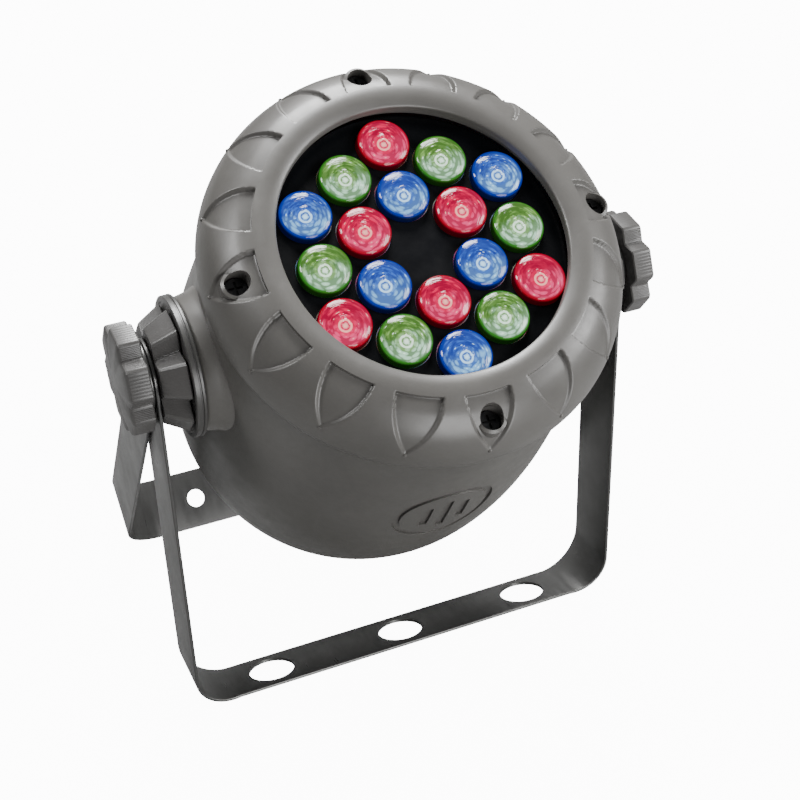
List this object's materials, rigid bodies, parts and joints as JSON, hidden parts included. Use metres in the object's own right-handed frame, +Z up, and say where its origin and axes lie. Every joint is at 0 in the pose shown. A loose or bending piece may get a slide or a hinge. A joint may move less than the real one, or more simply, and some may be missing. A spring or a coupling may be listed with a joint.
{
  "type": "led_par_can",
  "caption": "Compact LED par can stage light with coloured lenses behind a rounded bezel, standing on its double bracket with two lobed clamp knobs.",
  "frame": {"origin": "row frame: middle of the outline, on the floor it stands on", "axes": "+Z up, the beam leans towards -Y, the tilt axis runs along X"},
  "size_m": [0.232, 0.2094, 0.2689],
  "materials": {
    "housing": "satin",
    "bracket_paint": "satin",
    "knob_plastic": "satin",
    "disc_plastic": "satin",
    "panel_black": "satin",
    "lens_red": "clear, lit from behind",
    "lens_green": "clear, lit from behind",
    "lens_blue": "clear, lit from behind",
    "led_board": "white solder mask",
    "circuit_board": "satin",
    "heat_sink": "bare",
    "panel_metal": "satin",
    "socket_plastic": "satin",
    "black_screw": "blackened",
    "plain_steel": "zinc plated",
    "display": "smoked red",
    "button_rubber": "matt"
  },
  "bodies": {
    "front_bracket": {"front_bracket": "bracket_paint"},
    "rear_bracket": {"rear_bracket": "bracket_paint"},
    "head": {"bezel_screw_1": "black_screw", "bezel_screw_2": "black_screw", "bezel_screw_3": "black_screw", "bezel_screw_4": "black_screw", "control_board": "circuit_board", "display_window": "display", "dmx_in_socket": "socket_plastic", "dmx_out_socket": "socket_plastic", "driver_board": "circuit_board", "front_bezel": "housing", "heat_sink": "heat_sink", "led_board": "led_board", "left_captive_nut": "plain_steel", "left_pivot_disc": "disc_plastic", "left_spacer_hub": "knob_plastic", "lens_inner_1": "lens_blue", "lens_inner_2": "lens_red", "lens_inner_3": "lens_blue", "lens_inner_4": "lens_red", "lens_inner_5": "lens_blue", "lens_inner_6": "lens_red", "lens_outer_1": "lens_red", "lens_outer_10": "lens_green", "lens_outer_11": "lens_blue", "lens_outer_12": "lens_green", "lens_outer_2": "lens_green", "lens_outer_3": "lens_blue", "lens_outer_4": "lens_green", "lens_outer_5": "lens_red", "lens_outer_6": "lens_green", "lens_outer_7": "lens_blue", "lens_outer_8": "lens_green", "lens_outer_9": "lens_red", "lens_plate": "panel_black", "panel_screw_1": "black_screw", "panel_screw_2": "black_screw", "panel_screw_3": "black_screw", "panel_screw_4": "black_screw", "power_inlet": "socket_plastic", "rear_panel": "panel_metal", "rear_shell": "housing", "right_captive_nut": "plain_steel", "right_pivot_disc": "disc_plastic", "right_spacer_hub": "knob_plastic"},
    "right_knob": {"right_clamp_knob": "knob_plastic", "right_clamp_bolt": "plain_steel"},
    "left_knob": {"left_clamp_knob": "knob_plastic", "left_clamp_bolt": "plain_steel"},
    "right_washer": {"right_clamp_washer": "plain_steel"},
    "left_washer": {"left_clamp_washer": "plain_steel"},
    "dmx_latch": {"dmx_latch": "plain_steel"},
    "menu_button": {"menu_button": "button_rubber"},
    "down_button": {"down_button": "button_rubber"},
    "up_button": {"up_button": "button_rubber"},
    "enter_button": {"enter_button": "button_rubber"}
  },
  "joints": [
    {"name": "rear_bracket_swing", "type": "hinge", "parent": "front_bracket", "child": "rear_bracket", "pos_m": [0, -0.00578, 0.17502], "axis": [1, 0, 0], "range_deg": [-37, 110]},
    {"name": "head_tilt", "type": "hinge", "parent": "front_bracket", "child": "head", "pos_m": [0, -0.00578, 0.17502], "axis": [1, 0, 0], "range_deg": [-60, 100]},
    {"name": "right_clamp_travel", "type": "slide", "parent": "front_bracket", "child": "right_washer", "axis": [1, 0, 0], "range_m": [0, 0.00125]},
    {"name": "right_knob_turn", "type": "hinge", "parent": "right_washer", "child": "right_knob", "pos_m": [0.11, -0.00578, 0.17502], "axis": [1, 0, 0], "range_deg": [0, 360]},
    {"name": "left_clamp_travel", "type": "slide", "parent": "front_bracket", "child": "left_washer", "axis": [-1, 0, 0], "range_m": [0, 0.00125]},
    {"name": "left_knob_turn", "type": "hinge", "parent": "left_washer", "child": "left_knob", "pos_m": [-0.11, -0.00578, 0.17502], "axis": [-1, 0, 0], "range_deg": [0, 360]},
    {"name": "menu_press", "type": "slide", "parent": "head", "child": "menu_button", "axis": [0, -0.4478, 0.8942], "range_m": [0, 0.001], "stiffness_N_per_m": 300, "springref_m": -0.0003},
    {"name": "down_press", "type": "slide", "parent": "head", "child": "down_button", "axis": [0, -0.4478, 0.8942], "range_m": [0, 0.001], "stiffness_N_per_m": 300, "springref_m": -0.0003},
    {"name": "up_press", "type": "slide", "parent": "head", "child": "up_button", "axis": [0, -0.4478, 0.8942], "range_m": [0, 0.001], "stiffness_N_per_m": 300, "springref_m": -0.0003},
    {"name": "enter_press", "type": "slide", "parent": "head", "child": "enter_button", "axis": [0, -0.4478, 0.8942], "range_m": [0, 0.001], "stiffness_N_per_m": 300, "springref_m": -0.0003},
    {"name": "dmx_latch_press", "type": "slide", "parent": "head", "child": "dmx_latch", "axis": [0, 0.8942, 0.4478], "range_m": [0, 0.001], "stiffness_N_per_m": 300, "springref_m": -0.0003}
  ],
  "couplings": [
    {"joint": "right_clamp_travel", "follows": "right_knob_turn", "m_per_rad": 0.00019894},
    {"joint": "left_clamp_travel", "follows": "left_knob_turn", "m_per_rad": 0.00019894}
  ]
}
